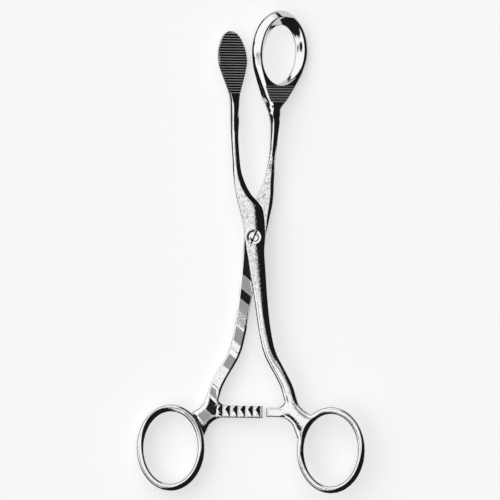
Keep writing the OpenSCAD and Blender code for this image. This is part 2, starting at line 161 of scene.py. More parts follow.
plate_rows = [
    lower(-62, 7.4, 4.9, WEB_T, SOFT, FACET, (0.5, 0.25)),
    lower(-58, 6.6, 4.6, WEB_T, SOFT, FACET, (0.5, 0.25)),
    lower(-54, 5.85, 4.4, WEB_T, SOFT, FACET, (0.5, 0.25)),
    lower(-50, 4.5, 4.4, WEB_T, SOFT, FACET, (0.5, 0.25)),
    lower(-46, 2.85, 4.5, WEB_T, SOFT, FACET, (0.5, 0.25)),
    lower(-42, 1.35, 4.3, WEB_T, SOFT, FACET, (0.4, 0.2)),
    lower(-38, 0.6, 4.2, WEB_T, SOFT, FACET, (0.3, 0.15)),
    lower(-30, 0.1, 4.3, WEB_T, [0.5, 0.2, 2], [1.4, 0.29, 2.3], (0.2, 0.1)),
    lower(-22, 0.03, 4.6, LOCK_T, [0.45, 0.18, 2], [1.45, 0.3, 2.4], (0.1, 0.05)),
    lower(-14, 0, 5.3, LOCK_T, [0.3, 0.14, 2], [1.4, 0.32, 2.3], (0.06, 0.03)),
    lower(-6, 0, 6.0, LOCK_T, [0.22, 0.11, 2], [1.3, 0.36, 2.1], (0.06, 0.03)),
    lower(0, 0.35, 7.2, LOCK_T, [0.17, 0.1, 2], [1.06, 0.38, 1.7], (0.06, 0.06)),
    lower(5, 0.5, 7.6, LOCK_T, [0.15, 0.1, 2], [1.0, 0.38, 1.6], (0.06, 0.06)),
    lower(9.5, 0.1, 7.9, LOCK_T, [0.15, 0.1, 2], [0.8, 0.36, 1.5], (0.06, 0.06)),
    lower(12, -0.7, 7.0, LOCK_T, [0.17, 0.1, 2], [0.7, 0.36, 1.3], (0.06, 0.06)),
    lower(15, -2.0, 5.3, LOCK_T, [0.24, 0.11, 2], [0.8, 0.38, 1.3], (0.1, 0.06)),
    lower(19, -2.95, 3.9, LOCK_T, [0.36, 0.15, 2], [0.95, 0.38, 1.3], (0.3, 0.2)),
    [24, -3.4, LOCK_Z, 2.8, 2.8, 0, *NARROW, 1.1, 0.34, 1.6, 0.5, 0.3],
    [29, -3.28, 1.3, 2.5, 2.8, 2, *NARROW, 1.1, 0.3, 1.5, 0.86, 0.43],
    [35, -3.1, 0.6, 2.5, 2.8, 10, 0.7, 0.28, 1.5, 1.15, 0.22, 1.4, 0.86, 0.43],
    [41, -2.6, -0.1, 2.8, 2.8, 22, 0.55, 0.41, 1.5, 0.9, 0.08, 1.4, 0.86, 0.43],
    plate(47, -1.4, 2.9, 2.5, (0.41, 0.48), 0.1, 0.5),
    plate(50, -1.15, 3.73, 2.1, (0.21, 0.38), 0.06, 0.5),
    plate(54, -0.85, 6.33, 1.9, (0.114, 0.38), 0.04, 0.5),
    plate(58, -0.6, 9.21, 1.8, (0.078, 0.4), 0.04, 0.45),
    plate(PLATE_WIDE_AT, -0.46, 11.3, 1.8, (0.064, 0.4), 0.04, 0.4),
    plate(PLATE_REACH, -0.4, 11.3, 1.8, (0.064, 0.4), 0.04, 0.4),
]
print(len(plate_rows), "rows for the plate half")

# %% Rows of the half with the ring jaw
RING_DEPTH = (3.0, 2.1)


def lower_rear(y, x, w, t, left, right, back):
    return [y, -x, -LAP - t / 2, w, t, 0, *left, *right, *back]


ring_neck = seat(np.array([[0.2, FACE_IN + RING_DEPTH[0] / 2]]), JAW_TURN)[0]
ring_heel = seat(np.array([[0, FACE_IN + RING_DEPTH[0] / 2]]), JAW_TURN)[0]
EDGE, DARK_EDGE = [0.22, 0.085, 2], [0.36, 0.12, 1.4]
ring_rows = [
    lower_rear(-62, 7.4, 4.9, WEB_T, EDGE, DARK_EDGE, (0.86, 0.43)),
    lower_rear(-58, 6.6, 4.6, WEB_T, EDGE, DARK_EDGE, (0.86, 0.43)),
    lower_rear(-54, 5.85, 4.4, WEB_T, EDGE, DARK_EDGE, (0.86, 0.43)),
    lower_rear(-50, 4.5, 4.4, WEB_T, EDGE, DARK_EDGE, (0.86, 0.43)),
    lower_rear(-46, 2.85, 4.5, WEB_T, EDGE, DARK_EDGE, (0.86, 0.43)),
    lower_rear(-42, 1.35, 4.3, WEB_T, EDGE, DARK_EDGE, (0.86, 0.43)),
    lower_rear(-38, 0.6, 4.2, WEB_T, EDGE, DARK_EDGE, (0.86, 0.43)),
    lower_rear(-30, 0.1, 4.3, WEB_T, EDGE, DARK_EDGE, (0.86, 0.43)),
    lower_rear(-22, 0.03, 4.6, LOCK_T, EDGE, [0.2, 0.1, 1.6], (0.7, 0.35)),
    lower_rear(-14, 0, 5.3, LOCK_T, [0.2, 0.08, 2], [0.1, 0.06, 2], (0.6, 0.3)),
    lower_rear(-6, 0, 6.0, LOCK_T, [0.12, 0.06, 2], [0.06, 0.03, 2], (0.45, 0.22)),
    lower_rear(0, -0.3, 7.2, LOCK_T, [0.06, 0.04, 2], [0.06, 0.06, 2], (0.36, 0.22)),
    lower_rear(4, -0.72, 7.0, LOCK_T, [0.06, 0.04, 2], [0.14, 0.1, 1.6], (0.36, 0.22)),
    lower_rear(8, -1.2, 6.6, LOCK_T, [0.08, 0.06, 2], [0.3, 0.17, 1.5], (0.36, 0.22)),
    lower_rear(12, -1.74, 6.1, LOCK_T, [0.12, 0.08, 2], [0.38, 0.2, 1.5], (0.36, 0.22)),
    lower_rear(16, -2.12, 5.1, LOCK_T, [0.15, 0.1, 2], [0.46, 0.22, 1.5], (0.36, 0.22)),
    lower_rear(20, -2.5, 3.5, LOCK_T, [0.25, 0.12, 2], [0.7, 0.25, 1.5], (0.4, 0.3)),
    [24, 2.5, -LOCK_Z, 3.0, 3.05, 0, 0.4, 0.18, 2, 0.8, 0.28, 1.5, 0.7, 0.4],
    [29, 2.5, -0.75, 2.5, 2.9, 3, *NARROW, 0.95, 0.32, 1.5, 0.86, 0.43],
    [34, 2.1, 0.25, 2.5, 2.9, 12, 0.7, 0.3, 1.5, 1.15, 0.22, 1.4, 0.86, 0.43],
    [40, 1.55, 1.1, 2.9, 2.9, 24, 0.55, 0.45, 1.5, 0.9, 0.08, 1.4, 0.86, 0.43],
    [44, ring_neck[0], ring_neck[1], 4.5, 3.0, JAW_TURN, 0.33, 0.5, 1.15, 0.3, 0.12, 1.5, 0.4, 0.3],
    [46, ring_heel[0], ring_heel[1], 5.9, 3.0, JAW_TURN, 0.4, 0.6, 2, 0.5, 0.6, 2, 0.1, 0.1],
    [50, ring_heel[0], ring_heel[1], 7.0, 2.7, JAW_TURN, 0.66, 0.8, 2, 0.66, 0.8, 2, 0.1, 0.1],
]
print(len(ring_rows), "rows for the ring half")

# %% [markdown]
# ## From sections to a closed skin
# Sections half a millimetre apart are joined into one skin, and its two ends are closed. Near
# a rounded tip the sections crowd together, because the outline turns fastest there.

# %% Sections of a half at any height
def bar_at(line, y, wide=1e9, reach=1e9 + 1):
    """The section of a half at one height, as points in space."""
    x, z, w, t, roll, *corners = line(y)[0]
    if y > wide:
        w = w * math.sqrt(max(0.0, 1 - ((y - wide) / (reach - wide)) ** 2))
    p = seat(bar_section(w, t, *corners), roll)
    return np.c_[x + p[:, 0], np.full(len(p), y), z + p[:, 1]]


def skin(loops, first=True, last=True):
    """Vertices and faces over a stack of loops, its ends closed where asked."""
    n, m = len(loops[0]), len(loops)
    faces = [[j * n + i, j * n + (i + 1) % n, (j + 1) * n + (i + 1) % n, (j + 1) * n + i]
             for j in range(m - 1) for i in range(n)]
    if first:
        faces.append(list(range(n))[::-1])
    if last:
        faces.append([(m - 1) * n + i for i in range(n)])
    return np.vstack(loops), faces


def make_object(name, vertices, faces):
    """A mesh object whose faces all point outwards."""
    mesh = bpy.data.meshes.new(name)
    mesh.from_pydata([tuple(map(float, v)) for v in vertices], [], [list(map(int, f)) for f in faces])
    shape = bpy.data.objects.new(name, mesh)
    bpy.context.scene.collection.objects.link(shape)
    face_out(shape)
    return shape


def face_out(shape):
    """Every face turned the same way, then all turned over if the volume comes out negative."""
    bm = bmesh.new()
    bm.from_mesh(shape.data)
    bmesh.ops.recalc_face_normals(bm, faces=bm.faces)
    if bm.calc_volume(signed=True) < 0:
        bmesh.ops.reverse_faces(bm, faces=bm.faces)
    bm.to_mesh(shape.data)
    bm.free()


def drop(*shapes):
    for s in shapes:
        mesh = s.data
        bpy.data.objects.remove(s)
        bpy.data.meshes.remove(mesh)


def bake(shape):
    """The object with its modifiers turned into a plain mesh."""
    graph = bpy.context.evaluated_depsgraph_get()
    mesh = bpy.data.meshes.new_from_object(shape.evaluated_get(graph))
    shape.modifiers.clear()
    old = shape.data
    shape.data = mesh
    bpy.data.meshes.remove(old)
    return shape


def carve(shape, tool):
    """One cut; the tool is used up."""
    cut = shape.modifiers.new("cut", "BOOLEAN")
    cut.operation, cut.solver, cut.object = "DIFFERENCE", "MANIFOLD", tool
    bake(shape)
    drop(tool)
    return shape


SEAM = -41.5
print("the handle ends join the shanks at", SEAM)

# %% [markdown]
# ## A comb for serrations and teeth
# Serrations and ratchet teeth are one cut repeated at a fixed pitch. A Geometry Nodes tree sets
# one cutting tooth along a line. Pitch, count, width and depth are its inputs, and the result
# is made solid, because it is used as a cutting tool.

# %% The comb tree
def comb_tree():
    tree = bpy.data.node_groups.new("comb of teeth", "GeometryNodeTree")
    face = tree.interface
    face.new_socket("Tooth", in_out="INPUT", socket_type="NodeSocketGeometry")
    for name, kind, value in (("Count", "Int", 6), ("Pitch", "Float", 1.0), ("Width", "Float", 1.0),
                              ("Depth", "Float", 1.0)):
        s = face.new_socket(name, in_out="INPUT", socket_type="NodeSocket" + kind)
        s.default_value = value
    face.new_socket("Material", in_out="INPUT", socket_type="NodeSocketMaterial")
    face.new_socket("Comb", in_out="OUTPUT", socket_type="NodeSocketGeometry")
    add, link = tree.nodes.new, tree.links.new
    given, made = add("NodeGroupInput"), add("NodeGroupOutput")
    step, size = add("ShaderNodeCombineXYZ"), add("ShaderNodeCombineXYZ")
    line, place = add("GeometryNodeMeshLine"), add("GeometryNodeInstanceOnPoints")
    solid, paint = add("GeometryNodeRealizeInstances"), add("GeometryNodeSetMaterial")
    line.mode = "OFFSET"
    link(given.outputs["Pitch"], step.inputs["Y"])
    link(given.outputs["Count"], line.inputs["Count"])
    link(step.outputs[0], line.inputs["Offset"])
    link(given.outputs["Width"], size.inputs["X"])
    link(given.outputs["Pitch"], size.inputs["Y"])
    link(given.outputs["Depth"], size.inputs["Z"])
    link(line.outputs["Mesh"], place.inputs["Points"])
    link(given.outputs["Tooth"], place.inputs["Instance"])
    link(size.outputs[0], place.inputs["Scale"])
    link(place.outputs["Instances"], solid.inputs[0])
    link(solid.outputs[0], paint.inputs["Geometry"])
    link(given.outputs["Material"], paint.inputs["Material"])
    link(paint.outputs[0], made.inputs[0])
    return tree


COMB = comb_tree()


def comb(tooth, matrix, **sizes):
    """A row of teeth from one tooth of unit size, put where the matrix says."""
    step = tooth.modifiers.new("comb", "NODES")
    step.node_group = COMB
    for item in COMB.interface.items_tree:
        if item.name in sizes:
            step[item.identifier] = sizes[item.name]
    bake(tooth)
    tooth.data.transform(matrix)
    face_out(tooth)
    return tooth


print("comb inputs:", [i.name for i in COMB.interface.items_tree if i.in_out == "INPUT"])

# %% [markdown]
# ## Cutting serrations
# The serrations are shallow grooves, cut straight across in the drawn pose. They are steep on one side, so that each
# shows a thin bright line and a broad dark one; on the plate and on the short row at the root of the ring jaw, the
# broad slope also has shade painted into the steel's colour. One groove is a long prism: its point goes into the
# steel and its back stands clear of it.

# %% One groove, and a comb of grooves across a jaw
PITCH, GROOVE = 0.91, 0.2


def groove_tooth():
    back = 4.0
    profile = [(-0.485, 0.0), (-0.2, 1.0), (0.485, 0.0), (0.485, -back), (-0.485, -back)]
    points = [(s, y, n) for s in (-0.5, 0.5) for y, n in profile]
    faces = [[0, 1, 2, 3, 4], [9, 8, 7, 6, 5]] + [[i, i + 5, (i + 1) % 5 + 5, (i + 1) % 5] for i in range(5)]
    return make_object("groove", points, faces)


def serrate(shape, low, high, n, width, inwards, opened):
    """Grooves from one height to another, cut into a face that lies n out of the jaw plane."""
    count = int((high - low) / PITCH)
    mid = (low + high) / 2
    turn = -math.atan(math.tan(math.radians(opened)) * math.cos(math.radians(JAW_TURN)))
    place = (Matrix.Rotation(math.radians(JAW_TURN), 4, "Y") @ Matrix.Translation((0, mid, 0))
             @ Matrix.Rotation(turn, 4, "Z") @ Matrix.Translation((0, low + PITCH / 2 - mid, n)))
    tool = comb(groove_tooth(), place, Count=count, Pitch=PITCH, Width=width,
                Depth=GROOVE * inwards)
    return carve(shape, tool)


print(int((72.2 - 51) / PITCH), "grooves on the plate")

# %% [markdown]
# ## Handle ends
# A finger ring, the web and the ratchet arm run into each other with the soft blends of a
# forging. Such blends are hard to build from plain shapes. So the parts are laid into each
# other, a voxel remesh wraps one skin round them all, and smoothing melts the inner corners.

# %% Sizes of the handle end
DROP, LEAN = 62.1, 7.0
RING_ACROSS, RING_DOWN, RING_RISE = 18.75, 77.5, 1.0
RING_W, RING_L, RING_WALL, RING_T = 24.0, 30.4, 2.5, 4.2
TOOTH_GAP = 0.06
LONG_ARM, SHORT_ARM = (11.8, 4.4, 2.1), (2.4, 3.4, 2.9)


def plan_turn(points):
    """Points of an upright handle, leaned with the finger ring."""
    a = math.radians(LEAN)
    x, y = points[:, 0], points[:, 1]
    return np.c_[x * math.cos(a) + y * math.sin(a), y * math.cos(a) - x * math.sin(a), points[:, 2]]


def swell_near(angle, middle, reach):
    """1 at one bearing of a ring, fading to 0 at a reach on both sides, in degrees."""
    off = abs((angle - middle + 180) % 360 - 180)
    return 0.5 + 0.5 * math.cos(math.pi * min(off / reach, 1))


def finger_ring(side):
    """A bar carried round an oval path, its hand-ground bevels broad at the upper left inside and
    the lower right outside; side -1 is the same turned over."""
    loops = []
    inner_at = 150 if side > 0 else 122
    for a in np.linspace(0, 360, 240, endpoint=False):
        drawn_at = a if side > 0 else 180 - a
        inward, outward = swell_near(drawn_at, inner_at, 75), swell_near(drawn_at, -45, 85)
        inner = 0.55 + 1.05 * inward
        outer = min(0.55 + 1.05 * outward, 1.94 - inner)
        bar = bar_section(RING_WALL, RING_T, inner, 0.115, 1.5 - 0.35 * inward,
                          outer, 0.115, 1.5 - 0.35 * outward, 0.94, 0.2)
        r = bar[:, 0] - RING_WALL / 2
        c, s = math.cos(math.radians(a)), math.sin(math.radians(a))
        p = np.c_[(RING_W / 2 + r) * c, (RING_L / 2 + r) * s, side * bar[:, 1]]
        loops.append((plan_turn(p) + (RING_ACROSS, -RING_DOWN, RING_RISE)) * (side, 1, side))
    n, m = len(loops[0]), len(loops)
    faces = [[j * n + i, j * n + (i + 1) % n, (j + 1) % m * n + (i + 1) % n, (j + 1) % m * n + i]
             for j in range(m) for i in range(n)]
    return make_object("finger ring", np.vstack(loops), faces)


def arm_block(reach, height, thick, side):
    """The ratchet arm before its teeth are cut, its edges broken by narrow bevels."""
    edge = 0.36
    loops = []
    for back, lower in ((0, 0.45), (0.2, 0.25), (0.4, 0.1), (0.6, 0), (reach + 4, 0)):
        bar = bar_section(height, thick, 2 * edge / height, edge / thick, 1.1,
                          2 * edge / height, edge / thick, 1.1, 0.1, 0.1)
        z = np.minimum(bar[:, 1], thick / 2 - lower)
        p = np.c_[np.full(len(bar), back - reach), bar[:, 0], TOOTH_GAP + thick / 2 + side * z]
        loops.append((plan_turn(p) + (0, -DROP, 0)) * (side, 1, side))
    return make_object("arm", *skin(loops))

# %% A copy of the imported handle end, in the closed place
def closed_place(opened):
    """Metres in the drawn pose to millimetres in the closed place."""
    return (Matrix.Rotation(math.radians(-opened), 4, "Z") @ Matrix.Translation(-Vector(PIVOT))
            @ Matrix.Scale(1 / MM, 4))


def sink_ring(mesh, side):
    """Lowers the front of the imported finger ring, so that the fine ring covers it."""
    c, s = math.cos(math.radians(LEAN)), math.sin(math.radians(LEAN))
    for v in mesh.vertices:
        across, up = v.co.x * side - RING_ACROSS, v.co.y + RING_DOWN
        x, y = across * c - up * s, up * c + across * s
        far = math.hypot(x / (RING_W / 2 - RING_WALL / 2), y / (RING_L / 2 - RING_WALL / 2))
        if 0.8 < far < 1.13:
            web = swell_near(math.degrees(math.atan2(y, x)), 131, 60) * float(smooth_step(far, 0.98, 1.02))
            over = v.co.z - side * RING_RISE
            if over > 0:
                v.co.z -= 0.5 * over * (1 - web)


def packed_handle(node, opened, side):
    mesh = frame["nodes"][node].data.copy()
    mesh.transform(closed_place(opened))
    sink_ring(mesh, side)
    bm = bmesh.new()
    bm.from_mesh(mesh)
    bmesh.ops.remove_doubles(bm, verts=bm.verts, dist=0.0005)
    cut = bmesh.ops.bisect_plane(bm, geom=bm.verts[:] + bm.edges[:] + bm.faces[:],
                                 plane_co=(0, SEAM + 8, 0), plane_no=(0, 1, 0), clear_outer=True)
    rim = [e for e in cut["geom_cut"] if isinstance(e, bmesh.types.BMEdge)]
    bmesh.ops.contextual_create(bm, geom=rim)
    bm.to_mesh(mesh)
    bm.free()
    shape = bpy.data.objects.new("packed handle", mesh)
    bpy.context.scene.collection.objects.link(shape)
    return shape


def even_out(shape, rounds, keep=0.52):
    """Smooths without shrinking: each inward step is followed by one outwards."""
    mesh = shape.data
    n = len(mesh.vertices)
    co = np.zeros(n * 3)
    mesh.vertices.foreach_get("co", co)
    co = co.reshape(-1, 3)
    e = np.zeros(len(mesh.edges) * 2, int)
    mesh.edges.foreach_get("vertices", e)
    a, b = np.r_[e[::2], e[1::2]], np.r_[e[1::2], e[::2]]
    many = np.bincount(a, minlength=n)[:, None]
    for _ in range(rounds):
        for step in (0.5, -keep):
            mean = np.stack([np.bincount(a, co[b, k], n) for k in range(3)], 1) / many
            co += step * (mean - co)
    mesh.vertices.foreach_set("co", co.ravel())
    mesh.update()


def melt_web(shape, side, rounds=110):
    """Evens out heights alone where shank, arm and ring meet, so that the outline stays."""
    mesh = shape.data
    n = len(mesh.vertices)
    co = np.zeros(n * 3)
    mesh.vertices.foreach_get("co", co)
    co = co.reshape(-1, 3)
    e = np.zeros(len(mesh.edges) * 2, int)
    mesh.edges.foreach_get("vertices", e)
    a, b = np.r_[e[::2], e[1::2]], np.r_[e[1::2], e[::2]]
    many = np.bincount(a, minlength=n)
    x, y = co[:, 0] * side, co[:, 1]
    share = 1 - smooth_step(np.hypot(x - 9.5, (y + 67) * 0.8), 5.5, 9.5)
    share *= smooth_step(x, 1.5, 4.0)
    for _ in range(rounds):
        mean = np.bincount(a, co[b, 2], n) / many
        co[:, 2] += 0.5 * share * (mean - co[:, 2])
    mesh.vertices.foreach_set("co", co.ravel())
    mesh.update()


def handle_end(node, opened, line, arm, side, voxel=0.18):
    """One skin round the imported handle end, a fine finger ring, a fine shank and a plain arm."""
    parts = [packed_handle(node, opened, side), finger_ring(side), arm_block(*arm, side)]
    parts.append(make_object("stub", *skin([bar_at(line, y) for y in np.arange(-60, SEAM + 8, 0.5)])))
    bm = bmesh.new()
    for p in parts:
        bm.from_mesh(p.data)
    whole = parts[0]
    bm.to_mesh(whole.data)
    bm.free()
    drop(*parts[1:])
    wrap = whole.modifiers.new("wrap", "REMESH")
    wrap.mode, wrap.voxel_size, wrap.use_smooth_shade = "VOXEL", voxel, True
    bake(whole)
    even_out(whole, 6)
    melt_web(whole, side)
    return whole

# %% [markdown]
# ## One skin from two
# The handle end has an even voxel mesh and the shank has clean sections. They are joined at a
# cut straight across the shank. The handle's last few millimetres are first drawn onto the
# clean shank, and then a zip of triangles closes the gap between the two rims.

# %% Draw the stub onto the shank, cut it, and zip it to the sections
def fit_stub(handle, line):
    guide = make_object("guide", *skin([bar_at(line, y) for y in np.arange(-58, SEAM + 6, 0.25)]))
    bm = bmesh.new()
    bm.from_mesh(guide.data)
    near = BVHTree.FromBMesh(bm)
    bm.free()
    drop(guide)
    for v in handle.data.vertices:
        pull = float(smooth_step(v.co.y, SEAM - 7, SEAM - 2))
        if pull > 0 and v.co.y < SEAM + 4:
            v.co = v.co.lerp(near.find_nearest(v.co)[0], pull)


def zip_to(handle, loops):
    """The cut handle and the skin over the loops as one closed mesh."""
    bm = bmesh.new()
    bm.from_mesh(handle.data)
    cut = bmesh.ops.bisect_plane(bm, geom=bm.verts[:] + bm.edges[:] + bm.faces[:],
                                 plane_co=(0, SEAM - 0.4, 0), plane_no=(0, 1, 0), clear_outer=True)
    bmesh.ops.remove_doubles(bm, verts=[v for v in cut["geom_cut"] if isinstance(v, bmesh.types.BMVert)],
                             dist=0.02)
    rim = [v for v in bm.verts if any(e.is_boundary for e in v.link_edges)]
    middle = np.mean(loops[0], axis=0)

    def bearing(p):
        return math.atan2((p[2] - middle[2]) * 1.4, p[0] - middle[0]) % (2 * math.pi)

    first = len(bm.verts)
    vertices, faces = skin(loops, first=False)
    added = [bm.verts.new(p) for p in vertices]
    for f in faces:
        bm.faces.new([added[i] for i in f])
    rim = sorted(rim, key=lambda v: bearing(v.co))
    top = sorted(added[:len(loops[0])], key=lambda v: bearing(v.co))
    i = j = 0
    while i < len(rim) or j < len(top):
        a, b = rim[i % len(rim)], top[j % len(top)]
        next_a = bearing(rim[(i + 1) % len(rim)].co) + (2 * math.pi if i + 1 >= len(rim) else 0)
        next_b = bearing(top[(j + 1) % len(top)].co) + (2 * math.pi if j + 1 >= len(top) else 0)
        if j >= len(top) or (i < len(rim) and next_a <= next_b):
            bm.faces.new([a, rim[(i + 1) % len(rim)], b])
            i += 1
        else:
            bm.faces.new([a, top[(j + 1) % len(top)], b])
            j += 1
    open_edges = sum(1 for e in bm.edges if not e.is_manifold)
    bm.to_mesh(handle.data)
    bm.free()
    face_out(handle)
    print(handle.name, "joined at vertex", first, "with", open_edges, "open edges")
    return handle

# %% [markdown]
# ## The plate half
# The plate is an oval leaf with a flat serrated face. Its half runs in one piece from the tip
# through the lap to the finger ring, so all of it is one mesh.

# %% Build the plate half
plate_line = smooth_line(plate_rows)
tip_steps = PLATE_WIDE_AT + (PLATE_REACH - PLATE_WIDE_AT) * np.sin(np.radians(np.arange(4, 88.1, 3)))
plate_heights = np.r_[np.arange(SEAM, PLATE_WIDE_AT, 0.5), tip_steps, PLATE_REACH - 0.004]
plate_loops = [bar_at(plate_line, y, PLATE_WIDE_AT, PLATE_REACH) for y in plate_heights]


def round_tool(diameter, low, high, flare=0.0):
    a = np.linspace(0, 2 * math.pi, 96, endpoint=False)
    rings = [np.c_[np.cos(a) * r, np.sin(a) * r, np.full(96, z)]
             for r, z in ((diameter / 2, low), (diameter / 2 + flare, high))]
    return make_object("bore", *skin(rings))


HEAD_D, SHOULDER_D, THREAD_D, RUN = 5.0, 3.4, 2.8, 0.03
HEAD_Z = LAP + LOCK_T - 1.15
HEAD_TOP = LAP + LOCK_T + 0.35
plate_half = handle_end("plate_jaw_half", PLATE_OPEN, plate_line, SHORT_ARM, 1)
fit_stub(plate_half, plate_line)
zip_to(plate_half, plate_loops)
carve(plate_half, round_tool(SHOULDER_D + 2 * RUN, -1, 5))
carve(plate_half, round_tool(HEAD_D + 2 * RUN, HEAD_Z, 5))
carve(plate_half, round_tool(HEAD_D + 2 * RUN, LAP + LOCK_T - 0.14, LAP + LOCK_T + 0.14, flare=0.28))
serrate(plate_half, 51, 72.2, -FACE_IN, 14, -1, PLATE_OPEN)
print("plate half:", len(plate_half.data.polygons), "faces")

# %% [markdown]
# ## The ring jaw
# The ring jaw is an oval ring with a flat working face below, a sloping outer wall, a narrow
# crest, and an inner wall that flares from the window. Up to the root of the ring it is a bar
# like the rest of the half. From there on, each section follows the outline drawn in by steps.

# %% Sections of the ring jaw
outline = smooth_line([[40, 0.6], [44, 1.6], [46, 2.9], [48, 4.25], [52, 6.45], [56, 8.45], [60, 10.1],
                       [RING_WIDE_AT, 11.2], [RING_REACH, 11.2]])
drift = smooth_line([[40, 0.4], [44, 0.3], [48, 0], [56, -0.2], [RING_WIDE_AT, -0.4], [RING_REACH, -1.2]])
GENTLE, RIGHT_SHARE = 0.78, 0.62
WALL_STEPS = np.linspace(0, 1, len(CORNER))


def wall_run(y, depth):
    """How far inwards the wall of the ring jaw has come at a depth: steep first, then gentle."""
    steep = float(np.interp(y, [46, 52, 58, 70], [1.9, 1.9, 1.5, 0.8]))
    slope = float(np.interp(y, [50, 58, 64, 70, 77], [2.2, 2.3, 2.8, 2.8, 2.3]))
    return np.where(depth < steep, depth / slope, steep / slope + (depth - steep) / GENTLE)


def half_width(y, i):
    if y < RING_WIDE_AT:
        return max(0.25, outline(y)[0][0] - i)
    reach = RING_REACH - i
    return (11.2 - i) * math.sqrt(max(0.0, 1 - ((y - RING_WIDE_AT) / (reach - RING_WIDE_AT)) ** 2)) if y < reach else 0.0


def ring_depth(y):
    d0, d1 = RING_DEPTH
    return d1 + (d0 - d1) * (RING_REACH - y) / (RING_REACH - 44)


def ring_section(y):
    """The ring jaw at one height before its window is cut."""
    d = ring_depth(y)
    n = 0.04 + (d - 0.04) * WALL_STEPS * min(1.0, max(0.0, (RING_REACH - y) / wall_run(y, d)))
    run = wall_run(y, n - 0.04)
    right = np.c_[[half_width(y, k * RIGHT_SHARE) for k in run], n]
    left = np.c_[[-half_width(y, k) for k in run], n][::-1]
    foot = np.linspace(0, 1, len(CORNER))[:, None]
    c = math.pi / 2 * foot
    a = right[0][0]
    back_left = np.c_[-a + 0.04 * (1 - np.cos(c)), 0.04 * (1 - np.sin(c))]
    back_right = (back_left * (-1, 1))[::-1]
    p = np.vstack([right, between(right[-1], left[0], FACE_STEPS), left, between(left[-1], back_left[0], 2),
                   back_left, between(back_left[-1], back_right[0], 5), back_right,
                   between(back_right[-1], right[0], 2)])
    p = seat(p + (drift(y)[0][0], FACE_IN), JAW_TURN)
    return np.c_[p[:, 0], np.full(len(p), y), p[:, 1]]


def ring_half_at(y):
    """Bar below, ring above, and a smooth change between them at the root."""
    share = float(smooth_step(y, 43, 49))
    if share == 0:
        return bar_at(ring_line, y)
    if share == 1:
        return ring_section(y)
    return bar_at(ring_line, y) * (1 - share) + ring_section(y) * share


# %% The window, flaring from the working face to the crest
def window_tool():
    lines = smooth_line([[-2, 13.2, 20.6, 0, 0], [FACE_IN + 0.3, 13.2, 20.6, 0, 0], [FACE_IN + 1.1, 14.6, 21.7, 0.5, 0.05],
                         [FACE_IN + 2.25, 16.9, 24.2, 1.4, 0.2], [FACE_IN + 5, 20.2, 26.6, 2.3, 0.3]])
    loops = []
    a = np.linspace(0, 2 * math.pi, 144, endpoint=False)
    for n in np.r_[-2, np.linspace(FACE_IN + 0.3, FACE_IN + 3.2, 22), FACE_IN + 5]:
        w, l, up, over = lines(n)[0]
        y = 64.8 + up + l / 2 * np.sin(a)
        u = w / 2 * np.cos(a) + over + drift(y)[:, 0]
        p = seat(np.c_[u, np.full(len(u), n)], JAW_TURN)
        loops.append(np.c_[p[:, 0], y, p[:, 1]])
    return make_object("window", *skin(loops))

# %% The ground front face of the rear shank
def ground_face(x, y):
    """How far the front face is ground down, over places in the drawn pose."""
    s = x * math.cos(math.radians(50)) + y * math.sin(math.radians(50))
    bands = [(-80, 0), (-62, 0), (-57.5, -0.45), (-53.4, 0), (-52.3, 0), (-50, -0.25), (-48.9, 0), (-41.5, 0),
             (-37, -0.46), (-35.1, 0), (-32.4, -0.02), (-28, -0.5), (-27, -0.27), (-23, -0.51), (-19.7, -0.87),
             (-16.6, -0.55), (-12.7, -0.96), (-2.4, 0), (10, 0)]
    return np.interp(s, *np.array(bands).T)


def grind(shape):
    mesh = shape.data
    co = np.zeros(len(mesh.vertices) * 3)
    mesh.vertices.foreach_get("co", co)
    co = co.reshape(-1, 3)
    turn = math.radians(RING_OPEN)
    x = co[:, 0] * math.cos(turn) - co[:, 1] * math.sin(turn)
    y = co[:, 0] * math.sin(turn) + co[:, 1] * math.cos(turn)
    share = np.clip((co[:, 2] + 2.9) / 2.8, 0, 1) * (y < -0.5) * (1 - smooth_step(co[:, 2], 0.0, 0.3))
    share *= np.where(y < -52, 1 - smooth_step(x, -13.2, -12.5), 1)
    co[:, 2] += share * ground_face(x, y)
    mesh.vertices.foreach_set("co", co.ravel())
    mesh.update()


# %% Build the ring half
ring_line = smooth_line(ring_rows)
near_tip = RING_REACH - 2.6 * np.linspace(1, 0.02, 34) ** 1.5
ring_heights = np.r_[np.arange(SEAM, 2, 0.28), np.arange(2, 42, 0.5), np.arange(42, 56, 0.25), np.arange(56, near_tip[0] - 0.2, 0.4),
                     near_tip, RING_REACH - 0.003]
ring_half = handle_end("ring_jaw_half", RING_OPEN, ring_line, LONG_ARM, -1)
fit_stub(ring_half, ring_line)
zip_to(ring_half, [ring_half_at(y) for y in ring_heights])
grind(ring_half)
carve(ring_half, window_tool())
carve(ring_half, round_tool(THREAD_D + 2 * RUN, -6, 2))
serrate(ring_half, 50, 79.5, FACE_IN, 26, 1, RING_OPEN)
serrate(ring_half, 48.2, 53.9, FACE_IN + RING_DEPTH[0] - 0.2, 12, -1, RING_OPEN)
print("ring half:", len(ring_half.data.polygons), "faces")

# %% [markdown]
# ## Ratchet teeth
# The arms lock by teeth that slope one way and stand square the other. The long arm shows its
# teeth to the viewer. Each is ground with a slant, so that one corner stays flat and bright and
# the rest falls away into the dark.

# %% Cut the teeth of both arms
TOOTH_PITCH, TOOTH_DEPTH = 2.67, 0.7


def wedge_tooth(plan):
    """One cut of unit pitch over a plan: deep and square at its start, shallow at its end."""
    deep = [(x, y, max(0.03, (0.92 - y) / 0.9)) for x, y in plan]
    high = [(x, y, -1.0) for x, y in plan]
    n = len(plan)
    faces = [list(range(n)), list(range(n, 2 * n))[::-1]]
    faces += [[i, (i + 1) % n, (i + 1) % n + n, i + n] for i in range(n)]
    return make_object("wedge", deep + high, faces)


